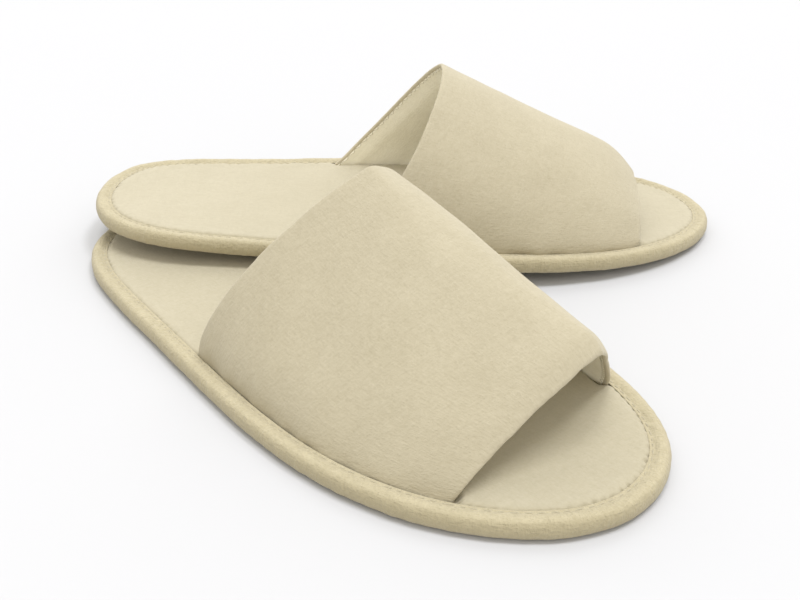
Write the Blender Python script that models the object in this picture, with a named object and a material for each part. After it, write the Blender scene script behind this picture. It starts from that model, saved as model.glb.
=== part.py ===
"""A pair of open-toe spa slippers. The rear slipper lies with its heel on the front one's heel.

Each slipper is modelled in its own frame, in millimetres: the heel's end is at the origin, +X runs to
the toe, +Y is its left side and z = 0 is the face that it stands on. Two empties then place the slippers.
Both soles have the same outline, and each upper has taken its own set.
"""

import math

import bmesh
import bpy
from mathutils import Vector

MM = 0.001

# Sole outline. Its half-width at angle t is sin(t) times a fullness, given at five even steps of t from
# the heel (t = 0) to the toe (t = pi).
LENGTH = 285.0
FULLNESS_LEFT = (99.0, 64.5, 58.5, 69.0, 82.5)
FULLNESS_RIGHT = (92.0, 72.0, 62.5, 74.5, 73.5)
AROUND = 64

# Layers of the sole, as (underside, top) heights, and how far each stays inside the outline.
TREAD = (0.0, 1.8)
OUTSOLE_RIM = (1.6, 2.4)
FOAM_PAD = (2.7, 4.1)
INSOLE_COVER = (4.4, 5.0)
INSOLE_FIELD = (4.6, 6.6)
SEAM_ALLOWANCE = (5.3, 5.8)
TREAD_INSET = 9.0
OUTSOLE_INSET = 2.6
PAD_INSET = 1.8
COVER_INSET = 1.9
FIELD_INSET = 12.5

# Tread channels across the underside.
CHANNEL_COUNT = 11
CHANNEL_WIDTH = 2.4
CHANNEL_DEPTH = 0.8
CHANNEL_PITCH = 23.0
CHANNEL_FIRST = 27.0

# Binding tape folded round the sole's edge, as (inset, height) points: its outer face from the upper
# lip, over the crown and round to the lower lip, then its inner face back.
TAPE_OUTER = (
    (6.9, 6.9), (6.0, 6.6), (4.9, 7.3), (3.2, 7.5), (1.1, 6.5), (0.0, 4.3),
    (0.3, 2.1), (1.9, 0.5), (4.8, 0.3), (6.0, 0.85), (7.1, 0.3), (8.3, 0.3),
)
TAPE_INNER = ((8.3, 1.3), (2.0, 1.3), (1.1, 2.6), (1.0, 4.6), (2.2, 6.1), (6.9, 6.1))
SEAM_INSET = 6.0
TOP_THREAD_HEIGHT = 7.12
BOTTOM_THREAD_HEIGHT = 0.33
THREAD_RADIUS = 0.22

# Upper: three layers, as depths below its outer surface, and the hems turned in at its two free edges.
# CREST is how much of its arch is rounded off at the top.
UPPER_INSET = 7.4
OUTER_LAYER = (0.0, 0.7)
FOAM_LAYER = (1.0, 1.8)
LINING_LAYER = (2.1, 2.6)
FOAM_SETBACK = 1.2
HEM_WIDTH = 3.4
HEM_GAP = 1.4
CREST = 0.3
HEM_THREAD_RADIUS = 0.25
ALLOWANCE_INSETS = (3.4, 7.9)
ACROSS = 16
ALONG = (0.035, 0.12, 0.23, 0.37, 0.5, 0.63, 0.74, 0.82, 0.89, 0.965)

# The set of each upper, as (throat value, toe-opening value). Bases are stations along the sole. droop is
# how far the toe end falls, and sag how far the middle does.
FRONT_SET = {
    "right_base": (126.8, 251.8),
    "left_base": (133.0, 241.3),
    "apex_x": (152.1, 254.9),
    "apex_y": (8.2, 14.5),
    "height": (65.1, 35.6),
    "right_flank": (2.2, 1.66),
    "left_flank": (1.43, 1.74),
    "rise": (0.99, 1.69),
    "lean": (1.32, 2.02),
    "droop": 4.0,
    "droop_from": 0.93,
    "sag": 1.0,
}
REAR_SET = {
    "right_base": (117.1, 246.4),
    "left_base": (104.9, 238.1),
    "apex_x": (155.8, 248.8),
    "apex_y": (11.5, 0.6),
    "height": (62.6, 25.5),
    "right_flank": (0.71, 1.54),
    "left_flank": (0.92, 1.5),
    "rise": (1.25, 1.19),
    "lean": (1.08, 2.08),
    "droop": 6.8,
    "droop_from": 0.82,
    "sag": -0.65,
}

# Where each slipper's heel end stands, and how it is turned (roll, pitch, yaw in degrees).
FRONT_PLACE = ((-120.7, 84.0, 0.0), (0.0, 0.0, -48.5))
REAR_PLACE = ((-142.5, 74.9, 13.7), (-1.0, 2.76, 1.73))

LOOKS = {
    "outsole": ((0.62, 0.57, 0.44), 0.75),
    "foam_pad": ((0.80, 0.76, 0.60), 0.90),
    "insole_cover": ((0.72, 0.67, 0.50), 0.95),
    "binding_tape": ((0.60, 0.54, 0.37), 0.92),
    "top_thread": ((0.66, 0.60, 0.43), 0.70),
    "bottom_thread": ((0.66, 0.60, 0.43), 0.70),
    "upper_outer": ((0.68, 0.62, 0.44), 0.95),
    "upper_foam": ((0.82, 0.79, 0.66), 0.90),
    "upper_lining": ((0.62, 0.56, 0.39), 0.92),
    "throat_hem_thread": ((0.66, 0.60, 0.43), 0.70),
    "toe_hem_thread": ((0.66, 0.60, 0.43), 0.70),
}


def clear_scene():
    for obj in list(bpy.data.objects):
        bpy.data.objects.remove(obj, do_unlink=True)


def fullness(values, cosine):
    """The polynomial in cos(t) through the five values."""
    nodes = [math.cos(step * math.pi / 4) for step in range(5)]
    total = 0.0
    for i, value in enumerate(values):
        weight = 1.0
        for j, node in enumerate(nodes):
            if j != i:
                weight *= (cosine - node) / (nodes[i] - node)
        total += value * weight
    return total


def outline(angle):
    """The sole's outline: angle 0 is the heel, a quarter turn the left side and a half turn the toe."""
    cosine = math.cos(angle)
    values = FULLNESS_LEFT if math.sin(angle) >= 0 else FULLNESS_RIGHT
    return Vector((LENGTH * (1 - cosine) / 2, math.sin(angle) * fullness(values, cosine), 0))


def inward(angle):
    """The plan direction from the outline at this angle towards the inside of the sole."""
    tangent = outline(angle + 0.01) - outline(angle - 0.01)
    return Vector((tangent.y, -tangent.x, 0)).normalized()


def inset_point(angle, inset, height):
    point = outline(angle) + inset * inward(angle)
    return Vector((point.x, point.y, height))


def station_angle(station, left):
    """The outline angle at a distance along the sole, on its left or its right side."""
    angle = math.acos(1 - 2 * station / LENGTH)
    return angle if left else 2 * math.pi - angle


def ring_angles():
    return [2 * math.pi * step / AROUND for step in range(AROUND)]


def new_object(name, mesh, parent):
    obj = bpy.data.objects.new(name, mesh)
    bpy.context.scene.collection.objects.link(obj)
    obj.parent = parent
    return obj


def finish_mesh(bm, name):
    bmesh.ops.scale(bm, vec=(MM, MM, MM), verts=bm.verts)
    bmesh.ops.recalc_face_normals(bm, faces=bm.faces)
    mesh = bpy.data.meshes.new(name)
    bm.to_mesh(mesh)
    bm.free()
    mesh.shade_smooth()
    mesh.set_sharp_from_angle(angle=math.radians(40))
    return mesh


def dress(obj, piece):
    """Give the object its own material, in the piece's colour and roughness."""
    colour, roughness = LOOKS[piece]
    material = bpy.data.materials.new(obj.name)
    material.use_nodes = True
    shader = material.node_tree.nodes["Principled BSDF"]
    shader.inputs["Base Color"].default_value = (*colour, 1.0)
    shader.inputs["Roughness"].default_value = roughness
    obj.data.materials.append(material)


def bridge_rows(bm, rows, closed):
    """Quads between neighbouring rows of points, each row a closed loop. The ends are capped if open."""
    grid = [[bm.verts.new(point) for point in row] for row in rows]
    count = len(grid)
    for i in range(count if closed else count - 1):
        first, second = grid[i], grid[(i + 1) % count]
        for j in range(len(first)):
            k = (j + 1) % len(first)
            bm.faces.new((first[j], first[k], second[k], second[j]))
    if not closed:
        bm.faces.new(grid[0])
        bm.faces.new(grid[-1])


def ring_mesh(name, section):
    """A closed ring that follows the outline, from a section of (inset, height) points."""
    bm = bmesh.new()
    rows = [[inset_point(angle, *point) for point in section] for angle in ring_angles()]
    bridge_rows(bm, rows, closed=True)
    return finish_mesh(bm, name)


def plate_bmesh(inset, heights):
    """A flat plate of the outline's shape."""
    bm = bmesh.new()
    rows = [[inset_point(angle, inset, z) for angle in ring_angles()] for z in heights]
    bridge_rows(bm, rows, closed=False)
    return bm


def plate_mesh(name, inset, heights):
    return finish_mesh(plate_bmesh(inset, heights), name)


def helper(name, mesh, parent):
    """An object that only shapes another one."""
    obj = new_object(name, mesh, parent)
    obj.hide_render = True
    obj.display_type = "WIRE"
    return obj


def add_boolean(obj, operation, other):
    modifier = obj.modifiers.new(operation.title(), "BOOLEAN")
    modifier.operation = operation
    modifier.solver = "EXACT"
    modifier.object = other


def channel_mesh(name):
    """The tread channels, as bars across the sole."""
    bm = bmesh.new()
    for step in range(CHANNEL_COUNT):
        centre = CHANNEL_FIRST + step * CHANNEL_PITCH
        bar = bmesh.ops.create_cube(bm, size=1.0)["verts"]
        bmesh.ops.scale(bm, vec=(CHANNEL_WIDTH, LENGTH, 2 * CHANNEL_DEPTH), verts=bar)
        bmesh.ops.translate(bm, vec=(centre, 0, 0), verts=bar)
    return finish_mesh(bm, name)


def make_outsole(side, parent):
    name = f"{side}_outsole"
    obj = new_object(name, plate_mesh(name, OUTSOLE_INSET, OUTSOLE_RIM), parent)
    tread = helper(f"{side}_tread", plate_mesh(f"{side}_tread", TREAD_INSET, TREAD), parent)
    channels = helper(f"{side}_channels", channel_mesh(f"{side}_channels"), parent)
    add_boolean(obj, "UNION", tread)
    add_boolean(obj, "DIFFERENCE", channels)
    return obj


def make_insole_cover(side, parent):
    """The cover, flat under the binding and raised over the pad."""
    name = f"{side}_insole_cover"
    obj = new_object(name, plate_mesh(name, COVER_INSET, INSOLE_COVER), parent)
    field = helper(f"{side}_field", plate_mesh(f"{side}_field", FIELD_INSET, INSOLE_FIELD), parent)
    add_boolean(obj, "UNION", field)
    return obj


def make_thread_ring(name, height, parent):
    section = [
        (SEAM_INSET + THREAD_RADIUS * math.cos(turn), height + THREAD_RADIUS * math.sin(turn))
        for turn in (0, math.pi / 2, math.pi, 3 * math.pi / 2)
    ]
    return new_object(name, ring_mesh(name, section), parent)


def mix(pair, u):
    return pair[0] + (pair[1] - pair[0]) * u


def flank_share(cosine, exponent):
    """How far towards the base a point of the upper lies. The crest is rounded off."""
    return cosine * ((cosine**2 + CREST**2) / (1 + CREST**2)) ** ((exponent - 1) / 2)


def upper_point(shape, u, turn):
    """The upper's outer surface. u runs from the throat to the toe opening, and turn from the right
    base (0) over the apex to the left base (pi)."""
    left = turn > math.pi / 2
    station = mix(shape["left_base" if left else "right_base"], u)
    base = inset_point(station_angle(station, left), UPPER_INSET, SEAM_ALLOWANCE[0])
    sine = max(math.sin(turn), 0.0)
    cosine = abs(math.cos(turn))
    droop_from = shape["droop_from"]
    fall = max(0.0, (u - droop_from) / (1 - droop_from)) ** 2
    height = mix(shape["height"], u) - shape["droop"] * fall - 4 * u * (1 - u) * shape["sag"]
    flank = mix(shape["left_flank" if left else "right_flank"], u)
    apex_x = mix(shape["apex_x"], u)
    apex_y = mix(shape["apex_y"], u)
    x = apex_x + (base.x - apex_x) * (1 - sine ** mix(shape["lean"], u))
    y = apex_y + (base.y - apex_y) * flank_share(cosine, flank)
    z = base.z + height * sine ** mix(shape["rise"], u)
    return Vector((x, y, z))


def upper_normal(shape, u, turn):
    """The outward direction of the upper's surface. It is level along the two bases."""
    step = 0.02
    before, after = max(u - step, 0.0), min(u + step, 1.0)
    lower, higher = max(turn - step, 0.0), min(turn + step, math.pi)
    along = upper_point(shape, after, turn) - upper_point(shape, before, turn)
    across = upper_point(shape, u, higher) - upper_point(shape, u, lower)
    normal = along.cross(across)
    if turn in (0.0, math.pi):
        normal.z = 0.0
    return normal.normalized()


def layer_point(shape, u, turn, depth):
    return upper_point(shape, u, turn) - depth * upper_normal(shape, u, turn)


def edge_share(shape, distance):
    """A distance in from a free edge, as a share of the upper's length along the sole."""
    return distance / (mix(shape["right_base"], 1.0) - mix(shape["right_base"], 0.0))


def spread(first, last, count):
    return [first + (last - first) * step / (count - 1) for step in range(count)]


def split_alike(bm, rows, section):
    """Triangles between the rows. Each diagonal leans towards the toe, so that the faces of two layers
    lie parallel where the surface twists."""
    grid = [[bm.verts.new(point) for point in row] for row in rows]
    for first, second in zip(grid, grid[1:]):
        for j in range(len(section)):
            k = (j + 1) % len(section)
            corners = (first[j], first[k], second[k], second[j])
            if section[k][0] < section[j][0]:
                corners = (first[k], second[k], second[j], first[j])
            bm.faces.new(corners[:3])
            bm.faces.new((corners[0], corners[2], corners[3]))
    bm.faces.new(grid[0])
    bm.faces.new(grid[-1])


def loft_upper(name, shape, section):
    """A layer of the upper: a closed section of (u, depth) points, carried from base to base."""
    bm = bmesh.new()
    turns = spread(0.0, math.pi, ACROSS + 1)
    rows = [[layer_point(shape, u, turn, depth) for u, depth in section] for turn in turns]
    split_alike(bm, rows, section)
    return finish_mesh(bm, name)


def run(start, end, depth):
    """Section points from one free edge to the other, through the shared stations between them."""
    stations = [start] + [u for u in ALONG if start < u < end] + [end]
    return [(u, depth) for u in stations]


def shell_section(start, end, depths):
    return run(start, end, depths[0]) + run(start, end, depths[1])[::-1]


def hemmed_section(shape):
    """The outer layer with its two free edges turned in over the foam, as far as the lining."""
    fold = edge_share(shape, OUTER_LAYER[1])
    hem = edge_share(shape, HEM_WIDTH)
    skin, under = OUTER_LAYER
    near, far = LINING_LAYER
    outside = run(0.0, 1.0, skin)
    toe_hem = [(1.0, far), (1.0 - hem, far), (1.0 - hem, near), (1.0 - fold, near)]
    inside = run(fold, 1.0 - fold, under)[::-1]
    throat_hem = [(fold, near), (hem, near), (hem, far), (0.0, far)]
    return outside + toe_hem + inside + throat_hem


def allowance_mesh(name, shape, left):
    """The seam allowance of one side: a strip of the outer layer that runs out under the tape."""
    bases = shape["left_base" if left else "right_base"]
    bm = bmesh.new()
    rows = []
    for station in spread(bases[0], bases[1], len(ALONG)):
        angle = station_angle(station, left)
        corners = [(inset, z) for z in SEAM_ALLOWANCE for inset in ALLOWANCE_INSETS]
        order = (corners[0], corners[1], corners[3], corners[2])
        rows.append([inset_point(angle, inset, z) for inset, z in order])
    bridge_rows(bm, rows, closed=False)
    return finish_mesh(bm, name)


def make_upper_outer(side, shape, parent):
    name = f"{side}_upper_outer"
    obj = new_object(name, loft_upper(name, shape, hemmed_section(shape)), parent)
    for left in (True, False):
        strip = f"{side}_allowance_{'left' if left else 'right'}"
        add_boolean(obj, "UNION", helper(strip, allowance_mesh(strip, shape, left), parent))
    return obj


def make_upper_foam(side, shape, parent):
    name = f"{side}_upper_foam"
    setback = edge_share(shape, FOAM_SETBACK)
    section = shell_section(setback, 1.0 - setback, FOAM_LAYER)
    return new_object(name, loft_upper(name, shape, section), parent)


def make_upper_lining(side, shape, parent):
    name = f"{side}_upper_lining"
    edge = edge_share(shape, HEM_WIDTH + HEM_GAP)
    section = shell_section(edge, 1.0 - edge, LINING_LAYER)
    return new_object(name, loft_upper(name, shape, section), parent)


def make_hem_thread(side, end, shape, parent):
    """The thread that joins a hem to the lining, in the gap between them."""
    name = f"{side}_{end}_hem_thread"
    middle = edge_share(shape, HEM_WIDTH + HEM_GAP / 2)
    centre = middle if end == "throat" else 1.0 - middle
    reach = edge_share(shape, HEM_THREAD_RADIUS)
    depth = (LINING_LAYER[0] + LINING_LAYER[1]) / 2
    radius = HEM_THREAD_RADIUS
    section = [
        (centre + reach, depth), (centre, depth - radius), (centre - reach, depth), (centre, depth + radius),
    ]
    return new_object(name, loft_upper(name, shape, section), parent)


def make_slipper(side, place, shape):
    location, turns = place
    frame = bpy.data.objects.new(f"{side}_slipper", None)
    bpy.context.scene.collection.objects.link(frame)
    frame.location = [value * MM for value in location]
    frame.rotation_euler = [math.radians(value) for value in turns]
    pieces = {
        "outsole": make_outsole(side, frame),
        "foam_pad": new_object(f"{side}_foam_pad", plate_mesh("foam_pad", PAD_INSET, FOAM_PAD), frame),
        "insole_cover": make_insole_cover(side, frame),
        "binding_tape": new_object(
            f"{side}_binding_tape", ring_mesh("binding_tape", TAPE_OUTER + TAPE_INNER), frame
        ),
        "top_thread": make_thread_ring(f"{side}_top_thread", TOP_THREAD_HEIGHT, frame),
        "bottom_thread": make_thread_ring(f"{side}_bottom_thread", BOTTOM_THREAD_HEIGHT, frame),
        "upper_outer": make_upper_outer(side, shape, frame),
        "upper_foam": make_upper_foam(side, shape, frame),
        "upper_lining": make_upper_lining(side, shape, frame),
        "throat_hem_thread": make_hem_thread(side, "throat", shape, frame),
        "toe_hem_thread": make_hem_thread(side, "toe", shape, frame),
    }
    for piece, obj in pieces.items():
        dress(obj, piece)


clear_scene()
make_slipper("front", FRONT_PLACE, FRONT_SET)
make_slipper("rear", REAR_PLACE, REAR_SET)
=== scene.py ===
"""The looks of a pair of open-toe spa slippers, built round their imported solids.

Lengths are in millimetres in a slipper's own frame (heel end at the origin, +X to the toe, +Y to its left,
z = 0 the face that it stands on) until place() turns them into metres in the shared frame.
"""

import math

import bmesh
import bpy
import numpy as np
from mathutils import Euler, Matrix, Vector


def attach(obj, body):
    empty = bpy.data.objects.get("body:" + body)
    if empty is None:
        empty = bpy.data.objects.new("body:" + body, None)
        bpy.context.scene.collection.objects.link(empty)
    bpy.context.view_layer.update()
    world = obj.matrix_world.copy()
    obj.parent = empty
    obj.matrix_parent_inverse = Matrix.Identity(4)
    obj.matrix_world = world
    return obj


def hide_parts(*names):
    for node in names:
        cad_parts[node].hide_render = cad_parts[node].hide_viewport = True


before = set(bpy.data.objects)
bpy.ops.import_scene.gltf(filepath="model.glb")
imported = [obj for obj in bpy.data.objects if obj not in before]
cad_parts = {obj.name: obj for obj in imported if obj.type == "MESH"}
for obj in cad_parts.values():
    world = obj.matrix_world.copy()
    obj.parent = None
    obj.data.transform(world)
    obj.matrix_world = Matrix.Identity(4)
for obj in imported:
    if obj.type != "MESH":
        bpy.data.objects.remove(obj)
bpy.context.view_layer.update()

MM = 0.001

# Sole outline, as in the solids: its half-width at angle t is sin(t) times a fullness, given at five even
# steps of t from the heel (t = 0) to the toe (t = pi).
LENGTH = 285.0
FULLNESS_LEFT = (99.0, 64.5, 58.5, 69.0, 82.5)
FULLNESS_RIGHT = (92.0, 72.0, 62.5, 74.5, 73.5)

# Sole layers.
TREAD = (0.0, 1.8)
OUTSOLE_RIM = (1.6, 2.4)
TREAD_INSET = 9.0
OUTSOLE_INSET = 2.6
CHANNEL_COUNT = 11
CHANNEL_WIDTH = 2.4
CHANNEL_DEPTH = 0.8
CHANNEL_PITCH = 23.0
CHANNEL_FIRST = 27.0
COVER_UNDERSIDE = 4.4
COVER_FLAT = 5.0
COVER_INSET = 1.9
COVER_SEAM = 6.7
COVER_CROWN = 2.0
LINING_FOOT = 10.6

# Bound edge: its section as (inset, height) points, outer face from the upper lip over the crown to the
# lower lip, then the inner face back. The seam runs in the groove beside the upper lip.
BAND_SECTION = (
    (7.08, 6.34), (6.92, 6.5), (6.6, 6.54), (6.3, 6.48), (5.95, 6.44), (5.5, 6.56), (4.8, 6.88), (3.8, 7.2),
    (2.7, 7.28), (1.7, 7.05), (0.95, 6.5), (0.45, 5.7), (0.18, 4.8), (0.05, 3.8), (0.1, 2.7), (0.4, 1.7),
    (1.0, 0.95), (2.0, 0.5), (3.6, 0.28), (5.2, 0.4), (6.0, 0.85), (6.8, 0.4), (7.8, 0.32), (8.3, 0.8),
    (7.6, 1.3), (5.0, 1.35), (2.6, 1.35), (1.4, 2.3), (1.05, 4.0), (1.5, 5.3), (2.6, 6.1), (4.6, 6.2),
    (6.4, 6.12),
)
BAND_LOWEST = 0.22
SEAM_INSET = 5.95
STITCH = 4.2
THREAD_RADIUS = 0.24
TOP_SEAM_HEIGHT = 6.48
BOTTOM_SEAM_HEIGHT = 0.52

# Upper: layers as depths below its outer surface, and the folded hems at its two free edges.
UPPER_INSET = 7.4
UPPER_BASE = 5.3
SKIN = 0.7
FOAM_LAYER = (1.0, 2.35)
LINING_LAYER = (2.64, 3.14)
FOLD_RADIUS = 1.3
HEM_WIDTH = 2.6
LINING_EDGE = 1.7
EDGE_THICKNESS = 0.62
HEM_STITCH = 3.1
CREST = 0.4

# The upper's mean length from throat to toe opening, and its mean width for each radian of its turn.
UPPER_ALONG = 105
UPPER_PER_TURN = 62

# Relief of the cloth, as (height, wavelength).
SOFTNESS = (0.55, 52)
FINE_SOFTNESS = (0.14, 21)
GATHERS = (0.6, 10)
PUFFS = (0.8, 27)
WAVY_EDGE = (0.22, 19)
EDGE_WANDER = (0.12, 17)
FINE_EDGE_WANDER = (0.04, 5)
BED_HOLLOWS = (0.12, 34)
FINE_BED_HOLLOWS = (0.04, 11)

# Cloth simulation of the upper and the foot bed: the grid's rows and columns, the share by which each cloth
# is cut larger than the surface that it starts from, its pressure, and the most that it may move.
SIMULATED_FRAMES = 24
CLOTH_SETTINGS = {
    "quality": 6,
    "mass": 0.15,
    "tension_stiffness": 12.0,
    "compression_stiffness": 12.0,
    "shear_stiffness": 6.0,
    "bending_stiffness": 0.6,
    "air_damping": 2.0,
}
UPPER_GRID = (76, 46)
UPPER_SLACK = 0.004
UPPER_MOVE = 0.8
BED_GRID = (90, 46)
BED_SLACK = 0.006
BED_PRESSURE = 0.5
BED_MOVE = 0.3

# How each upper lies, as (throat value, toe-opening value). Bases are stations along the sole, droop is how
# far the toe end falls, and sag is how far the middle does.
FRONT_SET = {
    "right_base": (126.8, 251.8),
    "left_base": (133.0, 241.3),
    "apex_x": (152.1, 254.9),
    "apex_y": (8.2, 14.5),
    "height": (65.1, 35.6),
    "right_flank": (2.2, 1.66),
    "left_flank": (1.43, 1.74),
    "rise": (0.99, 1.69),
    "lean": (1.32, 2.02),
    "droop": 4.0,
    "droop_from": 0.93,
    "sag": 1.0,
}
REAR_SET = {
    "right_base": (117.1, 246.4),
    "left_base": (104.9, 238.1),
    "apex_x": (155.8, 248.8),
    "apex_y": (11.5, 0.6),
    "height": (62.6, 25.5),
    "right_flank": (0.71, 1.54),
    "left_flank": (0.92, 1.5),
    "rise": (1.25, 1.19),
    "lean": (1.08, 2.08),
    "droop": 6.8,
    "droop_from": 0.82,
    "sag": -0.65,
}

# Where each slipper stands, as (location, turns in degrees).
FRONT_PLACE = ((-120.7, 84.0, 0.0), (0.0, 0.0, -48.5))
REAR_PLACE = ((-142.5, 74.9, 13.7), (-1.0, 2.76, 1.73))

# How finely the pieces are made.
RING_STEPS = 1700
ROWS_ACROSS = 240
ROWS_ALONG = 240
BED_COLUMNS = 121
MARGIN_STEPS = 7
RELIEF_COLUMNS = 160

# View and light. Each light is its name, azimuth, elevation and spread in degrees, power and colour.
CAMERA_TARGET = (-0.0028, 0.0053, 0.0)
CAMERA_DISTANCE = 0.4176
CAMERA_ELEVATION = math.radians(28.69)
CAMERA_LENS = 45.63
LIGHTS = (
    ("front", 0, 22, 90, 0.95, (1.0, 0.94, 0.85)),
    ("back", 180, 22, 90, 1.55, (1.0, 0.985, 0.955)),
    ("right", 90, 68, 14, 1.05, (0.98, 1.0, 1.05)),
    ("overhead", 0, 90, 18, 1.08, (0.98, 1.0, 1.05)),
)
SKY_COLOUR = (1.0, 0.99, 0.97)
SKY_STRENGTH = 0.86
FLOOR_COLOUR = (0.54, 0.54, 0.545)
FLOOR_REACH = 60.0
FLOOR_DROP = 0.00005


# ---------------------------------------------------------------- shapes of the slipper

def fullness(values, cosine):
    """The polynomial in cos(t) through the five values."""
    nodes = np.cos(np.arange(5) * np.pi / 4)
    total = 0.0
    for i, value in enumerate(values):
        weight = 1.0
        for j, node in enumerate(nodes):
            if j != i:
                weight = weight * (cosine - node) / (nodes[i] - node)
        total = total + value * weight
    return total


def outline(angle):
    """The sole's outline as (..., 2) points: angle 0 is the heel, a quarter turn the left side."""
    sine, cosine = np.sin(angle), np.cos(angle)
    half = np.where(sine >= 0, fullness(FULLNESS_LEFT, cosine), fullness(FULLNESS_RIGHT, cosine))
    return np.stack([LENGTH * (1 - cosine) / 2, sine * half], axis=-1)


def inset_points(angle, inset, height):
    """Points a distance in from the outline, at a height."""
    angle, inset, height = np.broadcast_arrays(angle, inset, height)
    tangent = outline(angle + 0.01) - outline(angle - 0.01)
    tangent = tangent / np.linalg.norm(tangent, axis=-1, keepdims=True)
    edge = outline(angle)
    x = edge[..., 0] + inset * tangent[..., 1]
    y = edge[..., 1] - inset * tangent[..., 0]
    return np.stack([x, y, height], axis=-1)


def station_angle(station, left):
    angle = np.arccos(1 - 2 * station / LENGTH)
    return angle if left else 2 * np.pi - angle


def mix(pair, share):
    return pair[0] + (pair[1] - pair[0]) * share


def smooth(value):
    """A smooth step from 0 to 1."""
    value = np.clip(value, 0.0, 1.0)
    return value * value * (3 - 2 * value)


def upper_points(shape, u, turn):
    """The upper's outer surface. u runs from the throat to the toe opening, and turn from the right base
    (0) over the apex to the left base (pi). The crest is rounded off."""
    u, turn = np.broadcast_arrays(u, turn)
    left = turn > np.pi / 2
    right_base = inset_points(station_angle(mix(shape["right_base"], u), False), UPPER_INSET, UPPER_BASE)
    left_base = inset_points(station_angle(mix(shape["left_base"], u), True), UPPER_INSET, UPPER_BASE)
    base = np.where(left[..., None], left_base, right_base)
    sine = np.clip(np.sin(turn), 1e-9, None)
    cosine = np.abs(np.cos(turn))
    flank = np.where(left, mix(shape["left_flank"], u), mix(shape["right_flank"], u))
    side = cosine * ((cosine**2 + CREST**2) / (1 + CREST**2)) ** ((flank - 1) / 2)
    fall = np.clip((u - shape["droop_from"]) / (1 - shape["droop_from"]), 0.0, None) ** 2
    height = mix(shape["height"], u) - shape["droop"] * fall - 4 * u * (1 - u) * shape["sag"]
    apex_x, apex_y = mix(shape["apex_x"], u), mix(shape["apex_y"], u)
    x = apex_x + (base[..., 0] - apex_x) * (1 - sine ** mix(shape["lean"], u))
    y = apex_y + (base[..., 1] - apex_y) * side
    z = base[..., 2] + height * sine ** mix(shape["rise"], u)
    return np.stack([x, y, z], axis=-1)


def off_the_base(turn):
    """How far a turn is from the nearer sewn base, in radians."""
    return np.minimum(turn, np.pi - turn)


def off_the_edge(u):
    """How far a point of the upper is from the nearer free edge."""
    return np.minimum(u, 1 - u) * UPPER_ALONG


def upper_normals(shape, u, turn):
    """The outward directions of the upper's surface. They are level along its two bases."""
    step = 0.01
    lower, higher = np.clip(turn - step, 0, np.pi), np.clip(turn + step, 0, np.pi)
    along = upper_points(shape, u + step, turn) - upper_points(shape, u - step, turn)
    across = upper_points(shape, u, higher) - upper_points(shape, u, lower)
    normal = np.cross(along, across)
    level = smooth(off_the_base(turn) / 0.08)
    normal[..., 2] *= np.broadcast_to(level, normal.shape[:-1])
    return normal / np.linalg.norm(normal, axis=-1, keepdims=True)


def catmull_rom(a, b, c, d, t):
    """The smooth curve from b to c, with a before them and d after them, at a share t of the way."""
    return 0.5 * (2 * b + (c - a) * t + (2 * a - 5 * b + 4 * c - d) * t**2 + (3 * b - a - 3 * c + d) * t**3)


def plane_waves(u, v, wavelength, seed, count=14):
    """A smooth random field over two coordinates, mostly between -1 and 1."""
    random = np.random.default_rng(seed)
    total = 0.0
    for _ in range(count):
        heading, phase = random.uniform(0, 2 * np.pi, 2)
        size = wavelength * random.uniform(0.7, 1.7)
        total = total + np.sin(2 * np.pi * (u * np.cos(heading) + v * np.sin(heading)) / size + phase)
    return total / math.sqrt(2 * count)


def waves(u, v, relief, seed):
    """Random waves of a relief's height and wavelength."""
    height, wavelength = relief
    return height * plane_waves(u, v, wavelength, seed)


def ring_waves(share, lowest, highest, seed):
    """A smooth random field round the edge, of all whole numbers of waves between two."""
    random = np.random.default_rng(seed)
    numbers = np.arange(lowest, highest + 1)
    total = 0.0
    for number in numbers:
        total = total + random.normal() * np.sin(2 * np.pi * number * share + random.uniform(0, 2 * np.pi))
    return total / math.sqrt(len(numbers))


# ---------------------------------------------------------------- meshes

def place(points, where):
    """Points of a slipper's own frame, in millimetres, as metres in the shared frame."""
    location, turns = where
    turn = np.array(Euler([math.radians(value) for value in turns]).to_matrix())
    return (points @ turn.T + np.array(location)) * MM


def loft(name, points, where, cloth, tone, closed):
    """A closed mesh through rows of points, each row a closed loop. Open ends are capped.

    cloth holds each point's place on the flat fabric, in mm. tone is how much painted light (+) or painted
    shade (-) it carries."""
    rows, columns = points.shape[:2]
    index = np.arange(rows * columns).reshape(rows, columns)
    after = np.roll(index, -1, axis=1)
    first, second = (index, np.roll(index, -1, axis=0)) if closed else (index[:-1], index[1:])
    follow, beyond = (after, np.roll(after, -1, axis=0)) if closed else (after[:-1], after[1:])
    quads = np.stack([first, follow, beyond, second], axis=-1).reshape(-1, 4)
    mesh = bpy.data.meshes.new(name)
    faces = quads.tolist()
    if not closed:
        faces += [index[0][::-1].tolist(), index[-1].tolist()]
    mesh.from_pydata(place(points, where).reshape(-1, 3), [], faces)
    if volume_of(mesh) < 0:
        mesh.flip_normals()
    mesh.shade_smooth()
    add_attribute(mesh, "cloth", "FLOAT_VECTOR", "vector", np.broadcast_to(cloth, points.shape))
    add_attribute(mesh, "tone", "FLOAT", "value", np.broadcast_to(tone, points.shape[:2]))
    piece = bpy.data.objects.new(name, mesh)
    bpy.context.scene.collection.objects.link(piece)
    return piece


def add_attribute(mesh, name, kind, key, values):
    layer = mesh.attributes.new(name, kind, "POINT")
    layer.data.foreach_set(key, values.astype(np.float32).ravel())


def volume_of(mesh):
    bm = bmesh.new()
    bm.from_mesh(mesh)
    volume = bm.calc_volume(signed=True)
    bm.free()
    return volume


def on_cloth(across, along, through=0.0):
    across, along, through = np.broadcast_arrays(across, along, through)
    return np.stack([across, along, through], axis=-1)


# ---------------------------------------------------------------- cloth simulation

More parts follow.
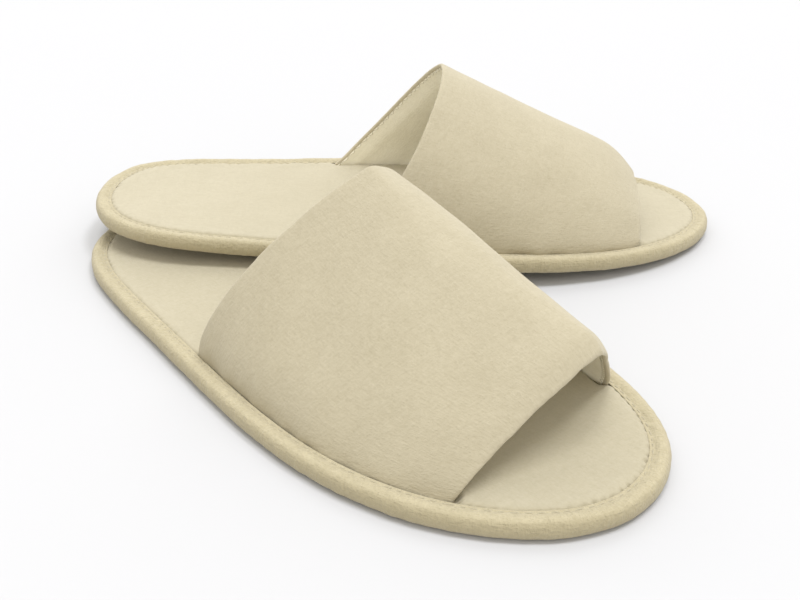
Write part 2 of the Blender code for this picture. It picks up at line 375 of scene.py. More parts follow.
def cubic_along(values, count):
    """Values at even steps of the first axis, resampled to another count."""
    steps = np.linspace(0, len(values) - 1, count)
    first = np.minimum(steps.astype(int), len(values) - 2)
    t = (steps - first).reshape(-1, *[1] * (values.ndim - 1))
    around = (values[np.clip(first + shift, 0, len(values) - 1)] for shift in (-1, 0, 1, 2))
    return catmull_rom(*around, t)


def resample(grid, rows, columns):
    return cubic_along(cubic_along(grid, rows).T, columns).T


def simulate_sheet(points, pinned, pressure, slack):
    """How far a sheet of cloth moves from a grid of points: it is held where pinned is true, cut larger
    than the grid by its slack, and blown up by a pressure."""
    rows, columns = points.shape[:2]
    index = np.arange(rows * columns).reshape(rows, columns)
    quads = np.stack([index[:-1, :-1], index[:-1, 1:], index[1:, 1:], index[1:, :-1]], axis=-1)
    mesh = bpy.data.meshes.new("sheet")
    mesh.from_pydata((points * MM).reshape(-1, 3), [], quads.reshape(-1, 4).tolist())
    sheet = bpy.data.objects.new("sheet", mesh)
    bpy.context.scene.collection.objects.link(sheet)
    group = sheet.vertex_groups.new(name="pinned")
    group.add(np.flatnonzero(pinned).tolist(), 1.0, "REPLACE")
    cloth = sheet.modifiers.new("cloth", "CLOTH")
    settings = cloth.settings
    for key, value in CLOTH_SETTINGS.items():
        setattr(settings, key, value)
    settings.vertex_group_mass = group.name
    settings.shrink_min = -slack
    settings.use_pressure = True
    settings.uniform_pressure_force = pressure
    settings.effector_weights.gravity = 0.0
    cloth.point_cache.frame_start, cloth.point_cache.frame_end = 1, SIMULATED_FRAMES
    for step in range(1, SIMULATED_FRAMES + 1):
        bpy.context.scene.frame_set(step)
    graph = bpy.context.evaluated_depsgraph_get()
    after = np.empty(rows * columns * 3, np.float32)
    sheet.evaluated_get(graph).data.vertices.foreach_get("co", after)
    bpy.context.scene.frame_set(1)
    bpy.data.objects.remove(sheet)
    bpy.data.meshes.remove(mesh)
    return after.reshape(rows, columns, 3) / MM - points


def capped(distance, most):
    return most * np.tanh(distance / most)


def softened(grid, passes):
    """A grid of values, each averaged with its neighbours a number of times."""
    for _ in range(passes):
        for axis in (0, 1):
            edge = np.pad(grid, [(1, 1) if axis == side else (0, 0) for side in (0, 1)], mode="edge")
            count = grid.shape[axis]
            grid = sum(w * edge.take(range(k, k + count), axis) for k, w in ((0, 0.25), (1, 0.5), (2, 0.25)))
    return grid


def simulated_bed(shape):
    """How far the foot bed's cover puffs up where nothing holds it down."""
    _, bed = insole_grid(*BED_GRID)
    rise, _, _ = foot_bed(shape, bed)
    pinned = rise < 0.4
    pinned[0] = pinned[-1] = pinned[:, 0] = pinned[:, -1] = True
    moved = simulate_sheet(bed, pinned, BED_PRESSURE, BED_SLACK)
    return softened(capped(moved[..., 2], BED_MOVE), 6)


def simulated_upper(shape):
    """How far the upper's cloth moves off its fair surface, outwards, between its two sewn bases."""
    turn = upper_turns(UPPER_GRID[0])
    u = np.linspace(0, 1, UPPER_GRID[1])[None]
    pinned = np.zeros(UPPER_GRID, bool)
    pinned[0] = pinned[-1] = True
    moved = simulate_sheet(upper_points(shape, u, turn), pinned, 0.0, UPPER_SLACK)
    outwards = (moved * upper_normals(shape, u, turn)).sum(axis=-1)
    return softened(capped(outwards, UPPER_MOVE), 3)


# ---------------------------------------------------------------- the bound edge and its seam

def ring_angles():
    """Outline angles at even steps round the edge, and the edge's length. The tape's join is on the left
    side, beside the upper."""
    start = math.radians(95)
    fine = np.linspace(start, start + 2 * np.pi, 6001)
    reach = np.concatenate([[0], np.cumsum(np.linalg.norm(np.diff(outline(fine), axis=0), axis=1))])
    steps = np.linspace(0, reach[-1], RING_STEPS, endpoint=False)
    return np.interp(steps, reach, fine), reach[-1]


def stitch_phase(share, perimeter, seed):
    """The phase along the seam, a turn for each stitch, with the stitches a little uneven."""
    count = round(perimeter / STITCH)
    return 2 * np.pi * (share * count + 0.14 * ring_waves(share, 20, 70, seed))


def pinch_at(phase):
    """How hard the seam pulls down: 1 at each needle hole and 0 half way between two."""
    return 0.5 + 0.5 * np.cos(phase)


def closed_spline(points, per_span):
    """A smooth curve through a closed loop of points, with a number of steps between each two."""
    around = (np.roll(points, shift, axis=0)[:, None, :] for shift in (1, 0, -1, -2))
    t = (np.arange(per_span) / per_span)[None, :, None]
    return catmull_rom(*around, t).reshape(-1, 2)


def make_band(side, where, seed):
    """The tape folded round the edge, plump between the stitches and pinched at each one."""
    angles, perimeter = ring_angles()
    share = np.arange(RING_STEPS)[:, None] / RING_STEPS
    section = closed_spline(BAND_SECTION, 2)[None]
    inset, height = section[..., 0], section[..., 1]
    tangent = np.roll(section, -1, axis=1) - np.roll(section, 1, axis=1)
    tangent = tangent / np.linalg.norm(tangent, axis=-1, keepdims=True)
    out_inset, out_height = -tangent[..., 1], tangent[..., 0]
    outside = smooth((7.2 - inset) / 0.6) * smooth((np.abs(height - 3.8) + (3.2 - inset) - 1.2) / 1.2)
    phase = stitch_phase(share, perimeter, seed)
    pinch = pinch_at(phase)
    near_seam = np.exp(-((inset - SEAM_INSET) / 1.1) ** 2)
    over_crown = smooth((inset - 0.2) / 4.5) * outside
    upright = smooth((height - 4.0) / 2.0) + 0.6 * smooth((3.0 - height) / 2.0)
    uneven = ring_waves(share, 120, 210, seed + 1)
    swell = -0.36 * pinch**2 * near_seam * outside * upright
    swell = swell + (0.10 - 0.22 * pinch) * (0.5 + 0.9 * uneven) * over_crown * upright
    swell = swell + 0.04 * ring_waves(share, 60, 130, seed + 2) * outside
    swell = swell + 0.07 * ring_waves(share, 12, 40, seed + 3) * outside
    swell = swell * np.clip(height, 0.0, 1.0)
    inset = inset + out_inset * swell
    height = height + out_height * swell
    points = inset_points(angles[:, None], inset, np.maximum(height, BAND_LOWEST))
    around = np.concatenate([[0], np.cumsum(np.linalg.norm(np.diff(section[0], axis=0), axis=1))])
    # Painted shade: darker in the stitched groove and at each needle hole, and darker on the tape's outer
    # side wall than on its crown.
    tone = -near_seam * (0.12 + 0.6 * pinch * (0.5 + uneven)) * outside
    tone = tone - 0.42 * smooth((2.2 - section[..., 0]) / 1.8)
    piece = loft(f"{side}_bound_edge", points, where, on_cloth(share * perimeter, around[None]), tone, True)
    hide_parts(f"{side}_binding_tape")
    return piece


def make_seam_thread(side, which, where, seed):
    """One continuous thread of the lock stitch: it lies on the tape and dips at each needle hole."""
    angles, perimeter = ring_angles()
    share = np.arange(RING_STEPS)[:, None] / RING_STEPS
    phase = stitch_phase(share, perimeter, seed)
    hole = pinch_at(phase) ** 3
    up = 1.0 if which == "top" else -1.0
    level = TOP_SEAM_HEIGHT if which == "top" else BOTTOM_SEAM_HEIGHT
    ring = np.linspace(0, 2 * np.pi, 8, endpoint=False)[None]
    sway = 0.09 * np.sin(phase)
    inset = SEAM_INSET + sway + THREAD_RADIUS * np.cos(ring)
    height = level - up * 0.75 * hole + THREAD_RADIUS * np.sin(ring)
    points = inset_points(angles[:, None], inset, height)
    cloth = on_cloth(share * perimeter, ring * THREAD_RADIUS)
    piece = loft(f"{side}_{which}_seam_thread", points, where, cloth, 0.0, True)
    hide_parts(f"{side}_{which}_thread")
    return piece


# ---------------------------------------------------------------- the sole

def nearest_edge(points):
    """How far each point of a grid is from the outline, and at what share of the way round."""
    angles, _ = ring_angles()
    edge = outline(angles[::2])
    distance, share = np.empty(points.shape[:2]), np.empty(points.shape[:2])
    for row, line in enumerate(points):
        gaps = np.linalg.norm(line[:, None, :2] - edge[None], axis=-1)
        nearest = gaps.argmin(axis=1)
        distance[row] = gaps[np.arange(len(line)), nearest]
        share[row] = nearest / len(edge)
    return distance, share


def insole_grid(rows, columns):
    """Points over the foot bed inside the seam, from the right to the left, heel first."""
    angle = np.linspace(0.004, np.pi - 0.004, rows)[:, None]
    even = np.linspace(-1, 1, columns)[None]
    spacing = 0.6 * np.sin(even * np.pi / 2) + 0.4 * even
    right, left = (inset_points(a, COVER_SEAM, COVER_FLAT) for a in (2 * np.pi - angle, angle))
    return angle, right + (left - right) * ((spacing + 1) / 2)[..., None]


def foot_bed(shape, bed):
    """How far each point of a foot-bed grid is inside the seam, or inside the lining where the upper
    stands, and its share of the way round."""
    distance, share = nearest_edge(bed)
    is_left = bed[..., 1] > 0
    inside = 0.0
    for bases, here in ((shape["left_base"], is_left), (shape["right_base"], ~is_left)):
        beside = smooth((bed[..., 0] - bases[0] - 1) / 4) * smooth((bases[1] - 1 - bed[..., 0]) / 4)
        inside = inside + beside * here
    return np.clip(distance - mix((COVER_SEAM, LINING_FOOT), inside), 0.0, None), share, inside


def make_insole(side, shape, where, seed):
    """The velour cover: pulled down at the seam, crowned over the pad and tucked in beside the lining."""
    angle, top = insole_grid(ROWS_ALONG, BED_COLUMNS)
    rise, share, inside = foot_bed(shape, top)
    pinch = pinch_at(stitch_phase(share, ring_angles()[1], seed))
    uneven = 0.7 + 0.9 * ring_waves(share, 120, 210, seed + 1)
    start = 0.85 * (1 - inside)
    crown = start + (COVER_CROWN - start) * (1 - np.exp(-rise / 0.65))
    crown = crown - 0.45 * (pinch - 0.25) * np.exp(-((rise - 0.5) / 1.3) ** 2) * (1 - inside) * uneven
    crown = crown + waves(top[..., 0], top[..., 1], BED_HOLLOWS, seed + 5) * smooth(rise / 9)
    crown = crown + waves(top[..., 0], top[..., 1], FINE_BED_HOLLOWS, seed + 6) * smooth(rise / 4)
    crown = crown + resample(simulated_bed(shape), ROWS_ALONG, BED_COLUMNS) * smooth(rise / 8)
    top[..., 2] = COVER_FLAT + crown
    insets = np.linspace(COVER_INSET, COVER_SEAM, MARGIN_STEPS, endpoint=False)[None]
    margin = COVER_FLAT + 0.85 * (insets - COVER_INSET) / (COVER_SEAM - COVER_INSET)
    right = inset_points(2 * np.pi - angle, insets, margin)
    left = inset_points(angle, insets, margin)[:, ::-1]
    top = np.concatenate([right, top, left], axis=1)
    under = top[:, ::-8].copy()
    under[..., 2] = COVER_UNDERSIDE
    points = np.concatenate([top, under], axis=1)
    tone = np.zeros(points.shape[:2])
    # Painted shade: darker where the cover dips down to the seam, most of all at each stitch.
    painted_crease_shade = (0.15 + 0.75 * pinch * uneven) * np.exp(-((rise / 1.1) ** 2))
    tone[:, MARGIN_STEPS:MARGIN_STEPS + BED_COLUMNS] = -painted_crease_shade
    piece = loft(f"{side}_insole_pad", points, where, points, tone, False)
    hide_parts(f"{side}_insole_cover")
    return piece


def plate(name, inset, heights, steps=300):
    """A flat plate of the outline's shape, as a mesh in a slipper's own frame, in mm."""
    angles = np.linspace(0, 2 * np.pi, steps, endpoint=False)
    rings = [inset_points(angles, inset, height) for height in heights]
    faces = [(i, (i + 1) % steps, (i + 1) % steps + steps, i + steps) for i in range(steps)]
    faces += [tuple(range(steps))[::-1], tuple(range(steps, 2 * steps))]
    mesh = bpy.data.meshes.new(name)
    mesh.from_pydata(np.concatenate(rings), [], faces)
    return mesh


def channel_bars(name):
    bm = bmesh.new()
    for step in range(CHANNEL_COUNT):
        bar = bmesh.ops.create_cube(bm, size=1.0)["verts"]
        bmesh.ops.scale(bm, vec=(CHANNEL_WIDTH, LENGTH, 2 * CHANNEL_DEPTH), verts=bar)
        bmesh.ops.translate(bm, vec=(CHANNEL_FIRST + step * CHANNEL_PITCH, 0, 0), verts=bar)
    mesh = bpy.data.meshes.new(name)
    bm.to_mesh(mesh)
    bm.free()
    return mesh


def make_outsole(side, where):
    """The moulded sole sheet: a thin rim, a thicker tread and channels across it."""
    meshes = (
        plate(f"{side}_sole_sheet", OUTSOLE_INSET, OUTSOLE_RIM),
        plate(f"{side}_tread_block", TREAD_INSET, TREAD),
        channel_bars(f"{side}_tread_channels"),
    )
    piece, tread, channels = (bpy.data.objects.new(mesh.name, mesh) for mesh in meshes)
    for obj in (piece, tread, channels):
        bpy.context.scene.collection.objects.link(obj)
    for operation, other in (("UNION", tread), ("DIFFERENCE", channels)):
        modifier = piece.modifiers.new(operation, "BOOLEAN")
        modifier.operation = operation
        modifier.object = other
    bake_modifiers(piece)
    for helper in (tread, channels):
        bpy.data.objects.remove(helper)
    count = len(piece.data.vertices)
    local = np.empty(count * 3, np.float32)
    piece.data.vertices.foreach_get("co", local)
    local = local.reshape(-1, 3)
    add_attribute(piece.data, "cloth", "FLOAT_VECTOR", "vector", local)
    piece.data.vertices.foreach_set("co", place(local, where).astype(np.float32).ravel())
    piece.data.shade_smooth()
    piece.data.set_sharp_from_angle(angle=math.radians(35))
    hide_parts(f"{side}_outsole")
    return piece


def bake_modifiers(piece):
    """Replace the piece's mesh with what its modifiers make of it."""
    graph = bpy.context.evaluated_depsgraph_get()
    piece.data = bpy.data.meshes.new_from_object(piece.evaluated_get(graph))
    piece.modifiers.clear()


# ---------------------------------------------------------------- the upper

def upper_relief(u, turn, slack, seed):
    """How far the fabric stands off its fair surface: its slack, softness, gathers and puffs along the
    bases, and wavy free edges."""
    across, along = turn * UPPER_PER_TURN, u * UPPER_ALONG
    off_base = off_the_base(turn)
    soft = waves(across, along, SOFTNESS, seed) + waves(across, along, FINE_SOFTNESS, seed + 1)
    gathers = waves(along, 0.15 * across, GATHERS, seed + 2) * smooth(off_base / 0.06)
    gathers = gathers * np.exp(-off_base / 0.14)
    puffs = waves(along, 0.35 * across, PUFFS, seed + 9) * smooth(off_base / 0.16)
    puffs = puffs * np.exp(-off_base / 0.38)
    wavy = waves(across, 0 * along, WAVY_EDGE, seed + 3) * np.exp(-off_the_edge(u) / 7)
    sewn = soft * smooth(off_base / 0.4) + gathers + puffs
    return sampled(slack, u, turn) + sewn + wavy * smooth(off_base / 0.25)


def uneven_edges(u, turn, seed):
    """The free edges wander a little along the foot."""
    across = turn * UPPER_PER_TURN
    wander = waves(across, 0 * u, EDGE_WANDER, seed + 7) + waves(across, 0 * u, FINE_EDGE_WANDER, seed + 8)
    near_edge = np.exp(-off_the_edge(u) / 6)
    return u + wander * near_edge * smooth(off_the_base(turn) / 0.2) / UPPER_ALONG


def sampled(slack, u, turn):
    """A fine (turn, u) grid of values, read between its points."""
    rows, columns = slack.shape
    down, across = np.broadcast_arrays(turn / np.pi * (rows - 1), np.clip(u, 0, 1) * (columns - 1))
    i, j = np.minimum(down.astype(int), rows - 2), np.minimum(across.astype(int), columns - 2)
    a, b = down - i, across - j
    upper_side = slack[i, j] * (1 - b) + slack[i, j + 1] * b
    lower_side = slack[i + 1, j] * (1 - b) + slack[i + 1, j + 1] * b
    return upper_side * (1 - a) + lower_side * a


def upper_layer(shape, u, turn, depth, slack, seed):
    relief = upper_relief(u, turn, slack, seed)
    depth = depth * mix((EDGE_THICKNESS, 1.0), smooth((off_the_edge(u) - 1.5) / 9))
    u = uneven_edges(u, turn, seed)
    return upper_points(shape, u, turn) + (relief - depth)[..., None] * upper_normals(shape, u, turn)


def upper_turns(rows=ROWS_ACROSS):
    return np.linspace(0, np.pi, rows)[:, None]


def upper_spans(shape, turn):
    """The length from the throat edge to the toe edge at each turn."""
    line = upper_points(shape, np.linspace(0, 1, 60)[None], turn)
    return np.linalg.norm(np.diff(line, axis=1), axis=-1).sum(axis=1)[:, None]


def upper_reach(shape):
    """The length across the upper from base to base, half way along it, at each turn."""
    line = upper_points(shape, 0.5, upper_turns()[:, 0])
    return np.concatenate([[0], np.cumsum(np.linalg.norm(np.diff(line, axis=0), axis=1))])[:, None]


def arc(centre, radius, start, end, steps):
    """Section points along an arc: 0 degrees is towards the free edge, 90 degrees is deeper."""
    angles = np.radians(np.linspace(start, end, steps))
    return np.stack([centre[0] - radius * np.cos(angles), centre[1] + radius * np.sin(angles)], axis=-1)


def hem_section():
    """One folded hem as (distance in from the free edge, depth): round the fold outside, under the hem,
    round its cut edge and back inside the fold."""
    deep = 2 * FOLD_RADIUS
    centre = (FOLD_RADIUS, FOLD_RADIUS)
    outside = arc(centre, FOLD_RADIUS, -90, 90, 15)
    under = np.stack([np.linspace(1.5, HEM_WIDTH - 0.5, 3), np.full(3, deep)], axis=-1)
    cut = arc((HEM_WIDTH - SKIN / 2, deep - SKIN / 2), -SKIN / 2, -90, 90, 6)[::-1]
    above = np.stack([np.linspace(HEM_WIDTH - 0.5, 1.5, 3), np.full(3, deep - SKIN)], axis=-1)
    inside = arc(centre, FOLD_RADIUS - SKIN, 90, -90, 9)
    return np.concatenate([outside, under, cut, above, inside])


def hemmed_rows(shape):
    """The outer cloth: its face, the toe hem, the inner face and the throat hem, at every turn."""
    turn = upper_turns()
    spans = upper_spans(shape, turn)
    hem = hem_section()
    start = FOLD_RADIUS / spans
    face = start + (1 - 2 * start) * np.linspace(0, 1, 110)[None, 1:-1]
    toe = 1 - hem[None, :, 0] / spans
    throat = hem[None, ::-1, 0] / spans
    depth = np.concatenate(
        [np.zeros(face.shape[1]), hem[:, 1], np.full(face[:, ::-3].shape[1], SKIN), hem[::-1, 1]]
    )
    u = np.concatenate([face, toe, face[:, ::-3], throat], axis=1)
    return u, turn, np.broadcast_to(depth, u.shape)


def plain_rows(shape, margin, layer):
    """A plain layer that stops a margin short of both free edges, at every turn."""
    turn = upper_turns()
    start = margin / upper_spans(shape, turn)
    face = start + (1 - 2 * start) * np.linspace(0, 1, 90)[None]
    u = np.concatenate([face, face[:, ::-1]], axis=1)
    depth = np.repeat(layer, face.shape[1])
    return u, turn, np.broadcast_to(depth, u.shape)


def upper_piece(name, shape, where, rows, slack, seed, tone):
    u, turn, depth = rows
    points = upper_layer(shape, u, turn, depth, slack, seed)
    cloth = on_cloth(upper_reach(shape), u * upper_spans(shape, turn), depth)
    return loft(name, points, where, cloth, tone, False)


def upper_tone(u, turn, depth):
    """Painted shade along the bases, a painted highlight along the folded edges, and painted light where the
    hems turn in.
    """
    off_base, edge = off_the_base(turn), off_the_edge(u)
    # Painted light: the hems' turned-in faces are made paler.
    turned = smooth((depth - 0.6) / 1.2) * smooth((4.0 - edge) / 1.0) * (depth < 2.65)
    # Painted shade: a narrow dark line at each base and a broad darkening of the flanks towards the bases.
    painted_crease_shade = 0.8 * np.exp(-off_base / 0.035) + 0.36 * np.exp(-off_base / 0.4)
    # Painted highlight: a paler rim along each folded edge.
    return 0.08 * np.exp(-((edge / 1.8) ** 2)) - painted_crease_shade + turned


def make_upper(side, shape, where, slack, seed):
    rows = hemmed_rows(shape)
    cloth = upper_piece(f"{side}_upper_cloth", shape, where, rows, slack, seed, upper_tone(*rows))
    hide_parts(f"{side}_upper_outer")
    rows = plain_rows(shape, HEM_WIDTH + 0.5, FOAM_LAYER)
    padding = upper_piece(f"{side}_upper_padding", shape, where, rows, slack, seed, 0.0)
    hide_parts(f"{side}_upper_foam")
    rows = plain_rows(shape, LINING_EDGE, LINING_LAYER)
    # Painted shade: the lining is darker along its foot, where it meets the foot bed.
    painted_crease_shade = -0.6 * np.exp(-off_the_base(rows[1]) / 0.03)
    lining = upper_piece(f"{side}_upper_lining_cloth", shape, where, rows, slack, seed, painted_crease_shade)
    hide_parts(f"{side}_upper_lining")
    across = upper_reach(shape)[-1, 0]
    along = float(upper_spans(shape, upper_turns()).mean())
    return {"upper": [cloth], "soft_foam": [padding], "lining": [lining]}


def make_hem_thread(side, end, shape, where, slack, seed):
    """A zigzag thread across the gap between a hem and the lining."""
    turn = np.linspace(0.02, np.pi - 0.02, 900)[:, None]
    reach = np.interp(turn, upper_turns()[:, 0], upper_reach(shape)[:, 0])
    swing = np.arcsin(np.sin(2 * np.pi * reach / HEM_STITCH)) / (np.pi / 2)
    ring = np.linspace(0, 2 * np.pi, 6, endpoint=False)[None]
    distance = LINING_EDGE + 0.5 + 0.8 * swing + 0.13 * np.cos(ring)
    depth = LINING_LAYER[1] + 0.04 - 0.3 * np.abs(swing) ** 8 + 0.13 * np.sin(ring)
    u = distance / upper_spans(shape, turn)
    points = upper_layer(shape, u if end == "throat" else 1 - u, turn, depth, slack, seed)
    piece = loft(f"{side}_{end}_hem_stitches", points, where, on_cloth(reach, ring), 0.0, False)
    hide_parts(f"{side}_{end}_hem_thread")
    return piece


# ---------------------------------------------------------------- materials

def add_node(tree, kind, inputs=(), **settings):
    made = tree.nodes.new(kind)
    for key, value in settings.items():
        setattr(made, key, value)
    for key, value in dict(inputs).items():
        if isinstance(value, bpy.types.NodeSocket):
            tree.links.new(value, made.inputs[key])
        else:
            made.inputs[key].default_value = value
    return made


def math_node(tree, operation, first, second):
    return add_node(tree, "ShaderNodeMath", {0: first, 1: second}, operation=operation).outputs[0]


def grain(tree, cloth, size, detail=2.0, stretch=(1.0, 1.0, 1.0), roughness=0.55):
    """Noise with a feature size in mm, stretched along the fabric's own directions."""
    scale = [1.0 / (size * value) for value in stretch]
    mapped = add_node(tree, "ShaderNodeMapping", {"Vector": cloth, "Scale": scale}).outputs[0]
    inputs = {"Vector": mapped, "Scale": 1.0, "Detail": detail, "Roughness": roughness}
    return add_node(tree, "ShaderNodeTexNoise", inputs).outputs["Fac"]


def weighted(tree, terms):
    """The sum of sockets times weights."""
    total = None
    for socket, weight in terms:
        scaled = math_node(tree, "MULTIPLY", socket, weight)
        total = scaled if total is None else math_node(tree, "ADD", total, scaled)
    return total


def blend_colours(tree, factor, first, second):
    mixed = add_node(tree, "ShaderNodeMix", {"Factor": factor, "A": first, "B": second}, data_type="RGBA")
    return mixed.outputs["Result"]


def start_material(name):
    material = bpy.data.materials.new(name)
    material.use_nodes = True
    tree = material.node_tree
    shader = tree.nodes["Principled BSDF"]
    cloth = add_node(tree, "ShaderNodeAttribute", attribute_name="cloth").outputs["Vector"]
    return material, tree, shader, cloth


def shade_of(colour, factor, warmth=0.0):
    """A darker or lighter version of a colour. Warmth takes blue away."""
    red, green, blue = colour
    return (red * factor, green * factor * (1 - 0.25 * warmth), blue * factor * (1 - warmth), 1.0)


def tone_shift(tree, colour_socket, painted_shade, painted_highlight):
    """Paint shade into a colour where the tone attribute is below 0, and paint light into it where it is
    above.
    """
    tone = add_node(tree, "ShaderNodeAttribute", attribute_name="tone").outputs["Fac"]
    low, high = (
        add_node(tree, "ShaderNodeMath", {0: tone, 1: sign}, operation="MULTIPLY", use_clamp=True).outputs[0]
        for sign in (-1.0, 1.0)
    )
    return blend_colours(tree, high, blend_colours(tree, low, colour_socket, painted_shade), painted_highlight)


def cloth_material(name, colour, nap, weave, bump, sheen, painted_highlight=1.08, depth=1.0):
    """Brushed cotton: nap fibres over a plain weave, uneven yarns and soft mottling, with painted shade in
    creases and painted highlights along folded edges, as the tone attribute gives.
    """
    material, tree, shader, cloth = start_material(name)
    fibre = grain(tree, cloth, nap, detail=3.0, roughness=0.62)
    warp = grain(tree, cloth, weave, detail=2.0, stretch=(1.0, 5.0, 1.0))
    weft = grain(tree, cloth, weave, detail=2.0, stretch=(5.0, 1.0, 1.0))
    tufts = grain(tree, cloth, nap * 2.6, detail=2.0)
    mottle = grain(tree, cloth, 17.0, detail=3.0)
    shading = weighted(tree, ((fibre, 0.8), (warp, 0.4), (weft, 0.4), (tufts, 0.6), (mottle, 0.6)))
    factor = add_node(
        tree, "ShaderNodeMapRange", {"Value": shading, "From Min": 1.05, "From Max": 1.75}
    ).outputs["Result"]
    dark, pale = shade_of(colour, 1 - 0.07 * depth, 0.05), shade_of(colour, 1 + 0.06 * depth)
    toned = blend_colours(tree, factor, dark, pale)
    # Painted shade: a darker, warmer copy of the colour where tone is below 0; painted highlight: a paler
    # copy where it is above.
    toned = tone_shift(tree, toned, shade_of(colour, 0.72, 0.16), shade_of(colour, painted_highlight))
    tree.links.new(toned, shader.inputs["Base Color"])
    relief = weighted(tree, ((fibre, 0.55), (warp, 0.35), (weft, 0.35), (tufts, 0.5)))
    bumped = add_node(tree, "ShaderNodeBump", {"Height": relief, "Strength": 1.0, "Distance": bump * MM})
    tree.links.new(bumped.outputs["Normal"], shader.inputs["Normal"])
    shader.inputs["Roughness"].default_value = 0.95
    shader.inputs["Specular IOR Level"].default_value = 0.25
    shader.inputs["Sheen Weight"].default_value = sheen
    shader.inputs["Sheen Roughness"].default_value = 0.6
    shader.inputs["Sheen Tint"].default_value = (1.0, 0.97, 0.88, 1.0)
    return material


def foam_material(name, colour, cell, roughness, bump):
    """Closed-cell foam: fine pores and a faint cloudiness."""
    material, tree, shader, cloth = start_material(name)
    mapped = add_node(tree, "ShaderNodeMapping", {"Vector": cloth, "Scale": (1 / cell,) * 3}).outputs[0]
    pores = add_node(tree, "ShaderNodeTexVoronoi", {"Vector": mapped, "Scale": 1.0}).outputs["Distance"]
    cloud = grain(tree, cloth, 12.0, detail=3.0)
    factor = weighted(tree, ((pores, 0.5), (cloud, 0.6)))
    toned = blend_colours(tree, factor, shade_of(colour, 0.93, 0.05), shade_of(colour, 1.05))
    tree.links.new(toned, shader.inputs["Base Color"])
    bumped = add_node(tree, "ShaderNodeBump", {"Height": pores, "Strength": 0.8, "Distance": bump * MM})
    tree.links.new(bumped.outputs["Normal"], shader.inputs["Normal"])
    shader.inputs["Roughness"].default_value = roughness
    return material


def thread_material(name, colour):
    """Two-ply sewing thread: the plies wind round it."""
    material, tree, shader, cloth = start_material(name)
    mapped = add_node(tree, "ShaderNodeMapping", {"Vector": cloth, "Scale": (2.4, 2.4, 1.0)}).outputs[0]
    inputs = {"Vector": mapped, "Scale": 1.0, "Distortion": 0.4}
    plies = add_node(tree, "ShaderNodeTexWave", inputs, bands_direction="DIAGONAL").outputs["Fac"]
    toned = blend_colours(tree, plies, shade_of(colour, 0.88, 0.06), shade_of(colour, 1.06))
    tree.links.new(toned, shader.inputs["Base Color"])
    bumped = add_node(tree, "ShaderNodeBump", {"Height": plies, "Strength": 0.6, "Distance": 0.06 * MM})
    tree.links.new(bumped.outputs["Normal"], shader.inputs["Normal"])
    shader.inputs["Roughness"].default_value = 0.65
    shader.inputs["Sheen Weight"].default_value = 0.2
    return material


def make_materials():
    return {
        # The 1.3 on the upper sets how pale the painted highlight on its fold rims and turned-in hems is.
        "upper": cloth_material(
            "brushed_cotton", (0.418, 0.373, 0.266),
            nap=1.0, weave=0.8, bump=0.38, sheen=0.2, painted_highlight=1.3, depth=1.25,
        ),
        # Painted light: the lining is given a far paler colour than the outer cotton, standing in for light
        # that the inside of the throat does not get.
        "lining": cloth_material(
            "lining_cotton", (0.90, 0.86, 0.71),
            nap=0.8, weave=0.7, bump=0.22, sheen=0.15,
        ),
        "insole": cloth_material(
            "insole_velour", (0.412, 0.371, 0.266),
            nap=0.8, weave=1.1, bump=0.18, sheen=0.3,
        ),
        "band": cloth_material(
            "binding_cotton", (0.44, 0.388, 0.258),
            nap=1.1, weave=0.8, bump=0.85, sheen=0.2, depth=1.9,
        ),
        "thread": thread_material("seam_thread", (0.44, 0.395, 0.275)),
        "eva": foam_material("eva_foam", (0.42, 0.385, 0.29), cell=0.7, roughness=0.75, bump=0.1),
        "soft_foam": foam_material("soft_foam", (0.55, 0.52, 0.41), cell=0.5, roughness=0.9, bump=0.15),
    }


def wear(piece, material):
    piece.data.materials.clear()
    piece.data.materials.append(material)


# ---------------------------------------------------------------- slippers

def make_slipper(side, shape, where, seed, materials):
    slack = resample(simulated_upper(shape), ROWS_ACROSS, RELIEF_COLUMNS)
    upper_seed = seed + 40
    pieces = make_upper(side, shape, where, slack, upper_seed)
    pieces["thread"] = [make_seam_thread(side, which, where, seed) for which in ("top", "bottom")]
    for end in ("throat", "toe"):
        pieces["thread"].append(make_hem_thread(side, end, shape, where, slack, upper_seed))
    pieces["band"] = [make_band(side, where, seed)]
    pieces["insole"] = [make_insole(side, shape, where, seed)]
    pieces["eva"] = [make_outsole(side, where)]
    for kind, made in pieces.items():
        for piece in made:
            wear(piece, materials[kind])
            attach(piece, f"{side}_slipper")
    wear(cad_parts[f"{side}_foam_pad"], materials["soft_foam"])


# ---------------------------------------------------------------- studio

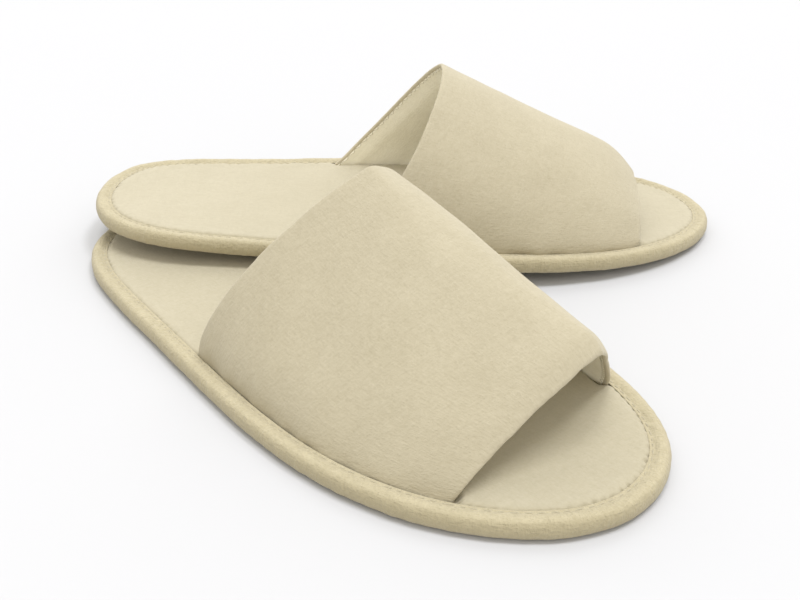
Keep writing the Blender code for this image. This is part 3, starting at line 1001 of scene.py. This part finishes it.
def make_camera():
    camera = bpy.data.objects.new("camera", bpy.data.cameras.new("camera"))
    bpy.context.scene.collection.objects.link(camera)
    back = Vector((0, -math.cos(CAMERA_ELEVATION), math.sin(CAMERA_ELEVATION)))
    camera.location = Vector(CAMERA_TARGET) + back * CAMERA_DISTANCE
    camera.rotation_euler = (math.pi / 2 - CAMERA_ELEVATION, 0, 0)
    camera.data.lens = CAMERA_LENS
    camera.data.sensor_width = 36.0
    camera.data.clip_start = 0.01
    bpy.context.scene.camera = camera


def make_floor():
    mesh = bpy.data.meshes.new("floor")
    corners = [(x * FLOOR_REACH, y * FLOOR_REACH, 0) for x, y in ((-1, -1), (1, -1), (1, 1), (-1, 1))]
    mesh.from_pydata(corners, [], [(0, 1, 2, 3)])
    floor = bpy.data.objects.new("floor", mesh)
    bpy.context.scene.collection.objects.link(floor)
    floor.location.z = -FLOOR_DROP
    material = bpy.data.materials.new("floor")
    material.use_nodes = True
    shader = material.node_tree.nodes["Principled BSDF"]
    shader.inputs["Base Color"].default_value = (*FLOOR_COLOUR, 1.0)
    shader.inputs["Roughness"].default_value = 0.9
    shader.inputs["Specular IOR Level"].default_value = 0.1
    mesh.materials.append(material)


def make_light(name, azimuth, elevation, spread, power, colour):
    """Even soft light from one side. Azimuth 0 is the camera's side, and 90 its right."""
    light = bpy.data.lights.new(name, "SUN")
    light.angle = math.radians(spread)
    light.energy = power
    light.color = colour
    lamp = bpy.data.objects.new(name, light)
    bpy.context.scene.collection.objects.link(lamp)
    a, e = math.radians(azimuth), math.radians(elevation)
    back = Vector((math.sin(a) * math.cos(e), -math.cos(a) * math.cos(e), math.sin(e)))
    lamp.location = back
    lamp.rotation_mode = "QUATERNION"
    lamp.rotation_quaternion = (-back).to_track_quat("-Z", "Y")


def make_studio():
    make_camera()
    make_floor()
    for light in LIGHTS:
        make_light(*light)
    world = bpy.data.worlds.new("studio")
    world.use_nodes = True
    world.node_tree.nodes["Background"].inputs["Color"].default_value = (*SKY_COLOUR, 1.0)
    world.node_tree.nodes["Background"].inputs["Strength"].default_value = SKY_STRENGTH
    bpy.context.scene.world = world
    bpy.context.scene.view_settings.view_transform = "Standard"


materials = make_materials()
make_slipper("front", FRONT_SET, FRONT_PLACE, 11, materials)
make_slipper("rear", REAR_SET, REAR_PLACE, 23, materials)
make_studio()
